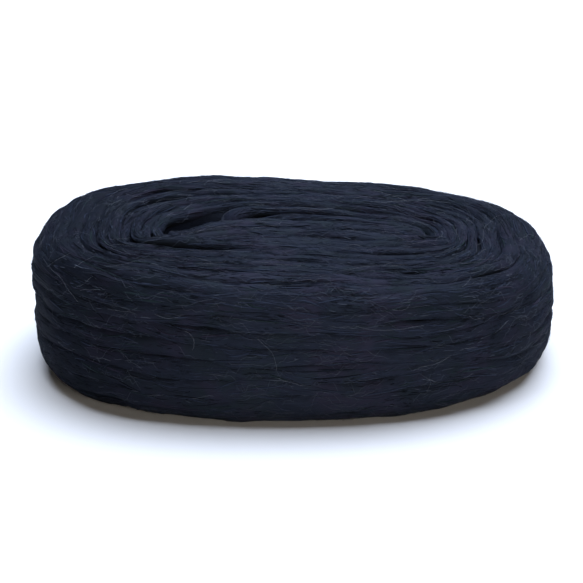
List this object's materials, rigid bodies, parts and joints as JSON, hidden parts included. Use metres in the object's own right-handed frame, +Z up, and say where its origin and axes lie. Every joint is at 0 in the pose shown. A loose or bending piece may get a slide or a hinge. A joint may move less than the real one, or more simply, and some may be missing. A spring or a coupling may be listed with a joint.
{
  "type": "plate of unspun wool yarn",
  "caption": "Flat oval plate of thick, soft, unspun wool yarn wound on itself in level turns around a closed eye, for hand knitting.",
  "frame": {"origin": "on the resting face, under the middle of the plate's box", "axes": "+X along the plate's length, +Y towards its back, +Z up out of the wound face"},
  "size_m": [0.2028, 0.1624, 0.0586],
  "materials": {
    "roving": "matt, fuzzy"
  },
  "bodies": {
    "root": {"roving_plate": "roving"}
  },
  "joints": []
}
